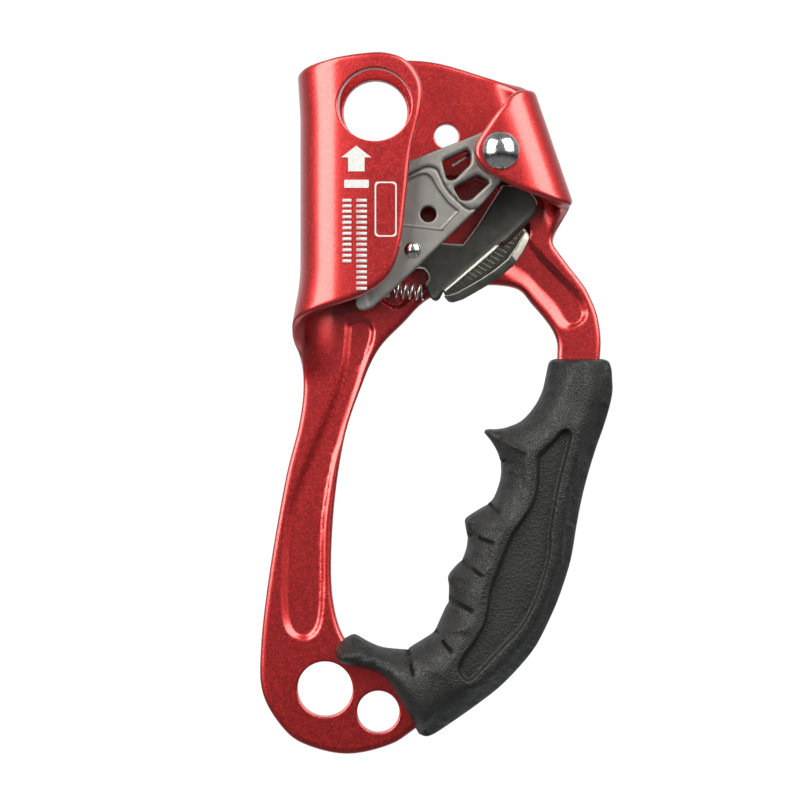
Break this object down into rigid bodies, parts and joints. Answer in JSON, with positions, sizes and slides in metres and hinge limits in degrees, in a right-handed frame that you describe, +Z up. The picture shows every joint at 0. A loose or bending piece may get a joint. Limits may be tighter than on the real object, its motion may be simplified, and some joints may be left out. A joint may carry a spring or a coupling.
{
  "type": "rope ascender",
  "caption": "Hand ascender: a bent sheet frame with a rope channel, a toothed spring cam with a safety catch, and a moulded finger grip.",
  "frame": {"origin": "on the axis of the rope channel, level with the cam axle", "axes": "+X from the rope towards the cam axle and the grip, +Z up along the rope, -Y out of the front face"},
  "size_m": [0.099, 0.0373, 0.1955],
  "materials": {
    "red_anodised": "satin anodised",
    "black_rubber": "fine grain",
    "cast_steel": "satin cast",
    "dark_steel": "matte blackened",
    "polished_steel": "polished",
    "spring_steel": "drawn wire"
  },
  "bodies": {
    "frame": {"frame": "red_anodised", "grip": "black_rubber", "cam_axle": "polished_steel", "front_washer": "polished_steel", "spring_sleeve": "spring_steel", "cam_spring": "spring_steel"},
    "cam": {"cam": "cast_steel", "cam_bush": "spring_steel", "catch_rivet": "polished_steel", "catch_spacer": "spring_steel", "catch_spring": "spring_steel"},
    "catch": {"catch_plate": "dark_steel", "rivet_washer": "spring_steel"}
  },
  "joints": [
    {"name": "cam_pivot", "type": "hinge", "parent": "frame", "child": "cam", "pos_m": [0.0455, 0, 0], "axis": [0, -1, 0], "range_deg": [-5, 35], "stiffness_Nm_per_rad": 0.02, "springref_deg": -28.65, "deforming": ["cam_spring"]},
    {"name": "catch_pivot", "type": "hinge", "parent": "cam", "child": "catch", "pos_m": [0.0216, 0.004, -0.0267], "axis": [0, -1, 0], "range_deg": [-38.6, 5.6], "stiffness_Nm_per_rad": 0.01, "springref_deg": 17.19, "deforming": ["catch_spring"]}
  ],
  "couplings": [
    {"joint": "catch_pivot", "follows": "cam_pivot", "ratio": -1.1}
  ]
}
